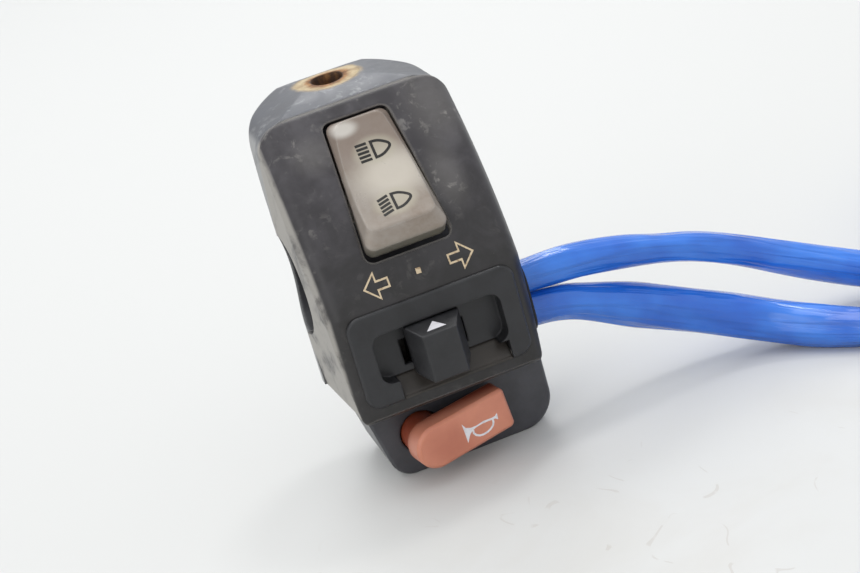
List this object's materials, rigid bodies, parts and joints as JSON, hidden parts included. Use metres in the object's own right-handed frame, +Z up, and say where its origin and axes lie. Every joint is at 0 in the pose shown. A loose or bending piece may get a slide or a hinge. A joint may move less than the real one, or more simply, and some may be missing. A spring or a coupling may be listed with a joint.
{
  "type": "handlebar switch cluster",
  "caption": "Two-part clamp-on case with a beam rocker, sliding turn switch, horn button, mirror socket and two cable sleeves.",
  "frame": {"origin": "on the handlebar's axis, at the middle of the case", "axes": "+X along the bar towards the cables, +Y away from the rider, +Z up"},
  "size_m": [0.228, 0.0941, 0.0787],
  "materials": {
    "case_front": "worn black paint over die-cast alloy",
    "case_rear": "worn black paint over die-cast alloy",
    "fasteners": "zinc plated",
    "springs": "bright wire",
    "contacts": "stamped",
    "rocker": "satin, worn",
    "dark_plastic": "matte",
    "base_plastic": "moulded",
    "horn_orange": "satin",
    "carrier_black": "matte",
    "rubber": "matte",
    "blue_sleeve": "glossy PVC",
    "wire_insulation": "gloss",
    "nylon": "natural nylon"
  },
  "bodies": {
    "housing": {"front_case": "case_front", "rear_case": "case_rear", "case_screws": "fasteners", "rocker_pivot_pins": "fasteners", "dimmer_base": "base_plastic", "dimmer_base_screws": "fasteners", "dimmer_contacts": "contacts", "turn_bezel": "dark_plastic", "turn_ramp": "dark_plastic", "turn_contact_plate": "base_plastic", "turn_contact_pads": "contacts", "turn_plate_screws": "fasteners", "horn_carrier": "carrier_black", "horn_spring": "springs", "horn_contact_plate": "base_plastic", "horn_contacts": "contacts", "horn_plate_screws": "fasteners", "horn_rear_cover": "carrier_black", "horn_cover_screws": "fasteners", "horn_carrier_screws": "fasteners", "cable_grommet": "rubber", "turn_leads": "wire_insulation", "dimmer_leads": "wire_insulation", "horn_leads": "wire_insulation", "small_sleeve_run": "blue_sleeve", "small_sleeve_coil": "blue_sleeve", "small_sleeve_wires": "wire_insulation", "small_sleeve_connector": "nylon", "large_sleeve_run": "blue_sleeve", "large_sleeve_coil": "blue_sleeve", "large_sleeve_wires": "wire_insulation", "large_sleeve_connector": "nylon"},
    "rocker": {"rocker_button": "rocker", "dimmer_plunger": "base_plastic", "dimmer_spring": "springs"},
    "contact_blade": {"dimmer_contact_blade": "contacts"},
    "carriage": {"turn_carriage": "dark_plastic", "turn_detent_ball": "springs", "turn_detent_spring": "springs", "turn_contact_bridge": "contacts", "knob_return_spring": "springs"},
    "knob": {"turn_knob": "dark_plastic"},
    "horn": {"horn_button": "horn_orange", "horn_contact_disc": "contacts"}
  },
  "joints": [
    {"name": "rocker_tilt", "type": "hinge", "parent": "housing", "child": "rocker", "pos_m": [0, -0.0092, 0.01674], "axis": [1, 0, 0], "range_deg": [0, 14.5]},
    {"name": "dimmer_blade_tilt", "type": "hinge", "parent": "housing", "child": "contact_blade", "pos_m": [0, -0.00534, 0.01406], "axis": [1, 0, 0], "range_deg": [-12, 0]},
    {"name": "turn_slide", "type": "slide", "parent": "housing", "child": "carriage", "axis": [1, 0, 0], "range_m": [-0.0045, 0.0045]},
    {"name": "knob_press", "type": "slide", "parent": "carriage", "child": "knob", "axis": [0, 1, 0], "range_m": [0, 0.0015], "stiffness_N_per_m": 400, "springref_m": -0.001, "deforming": ["knob_return_spring"]},
    {"name": "horn_press", "type": "slide", "parent": "housing", "child": "horn", "axis": [0, 1, 0], "range_m": [0, 0.0018], "stiffness_N_per_m": 600, "springref_m": -0.001, "deforming": ["horn_spring"]}
  ],
  "couplings": [
    {"joint": "dimmer_blade_tilt", "follows": "rocker_tilt", "ratio": -0.8275}
  ]
}
